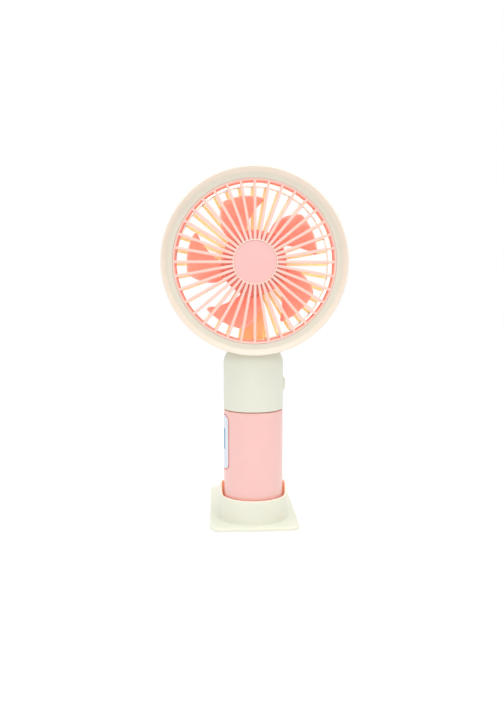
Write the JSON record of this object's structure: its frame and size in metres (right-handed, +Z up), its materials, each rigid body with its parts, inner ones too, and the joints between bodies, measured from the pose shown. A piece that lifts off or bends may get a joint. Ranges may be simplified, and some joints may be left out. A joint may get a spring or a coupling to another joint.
{
  "type": "handheld electric fan",
  "caption": "Rechargeable handheld electric fan with a round grilled head on a cylindrical handle, standing in the cup of a flat desk stand.",
  "frame": {"origin": "on the desk plane, at the middle of the stand's rest face patch under the handle's axis", "axes": "+Z up along the handle, -Y the way the fan blows, +X to the right seen from the front (the power button's side)"},
  "size_m": [0.0944, 0.081, 0.186],
  "materials": {
    "stand_plastic": "smooth satin",
    "pad_rubber": "matt",
    "handle_plastic": "smooth satin gloss",
    "label_film": "smooth film",
    "neck_plastic": "fine satin",
    "bezel_plastic": "fine satin",
    "grille_plastic": "satin",
    "hub_cap_plastic": "fine satin",
    "housing_plastic": "fine satin",
    "rear_grille_plastic": "fine satin",
    "brass": "turned",
    "steel": "brushed",
    "copper": "enamelled winding",
    "board": "solder mask",
    "wire_rubber": "satin",
    "cell_sleeve": "shrink sleeve",
    "foam": "open cell",
    "chip_plastic": "moulded",
    "light_plastic": "clear moulded",
    "impeller_plastic": "satin gloss",
    "magnet": "sintered"
  },
  "bodies": {
    "stand": {"stand": "stand_plastic", "anti_slip_pad": "pad_rubber"},
    "fan": {"handle_tube": "handle_plastic", "handle_end_cap": "handle_plastic", "handle_label": "label_film", "neck_front_shell": "neck_plastic", "neck_rear_shell": "neck_plastic", "front_bezel": "bezel_plastic", "front_grille": "grille_plastic", "grille_hub_cap": "hub_cap_plastic", "rear_housing": "housing_plastic", "rear_grille": "rear_grille_plastic", "bearing_tube": "brass", "front_bearing": "brass", "rear_bearing": "brass", "stator_core": "steel", "stator_coils": "copper", "motor_board": "board", "motor_wires": "wire_rubber", "battery_cell": "cell_sleeve", "battery_tabs": "steel", "battery_foam_pads": "foam", "battery_wires": "wire_rubber", "circuit_board": "board", "board_components": "chip_plastic", "usb_socket": "steel", "switch_body": "chip_plastic", "light_guide": "light_plastic", "shell_screws": "steel", "board_screws": "steel"},
    "rotor": {"impeller": "impeller_plastic", "rotor_yoke": "steel", "ring_magnet": "magnet", "rotor_shaft": "steel", "retaining_clip": "chip_plastic"},
    "button": {"power_button": "neck_plastic", "switch_plunger": "chip_plastic"}
  },
  "joints": [
    {"name": "fan_lift", "type": "slide", "parent": "stand", "child": "fan", "axis": [0, 0, 1], "range_m": [0, 0.02]},
    {"name": "rotor_spin", "type": "hinge", "parent": "fan", "child": "rotor", "pos_m": [0, 0, 0.1388], "axis": [0, -1, 0], "continuous": true},
    {"name": "button_press", "type": "slide", "parent": "fan", "child": "button", "axis": [-1, 0, 0], "range_m": [0, 0.0006], "stiffness_N_per_m": 1500}
  ]
}
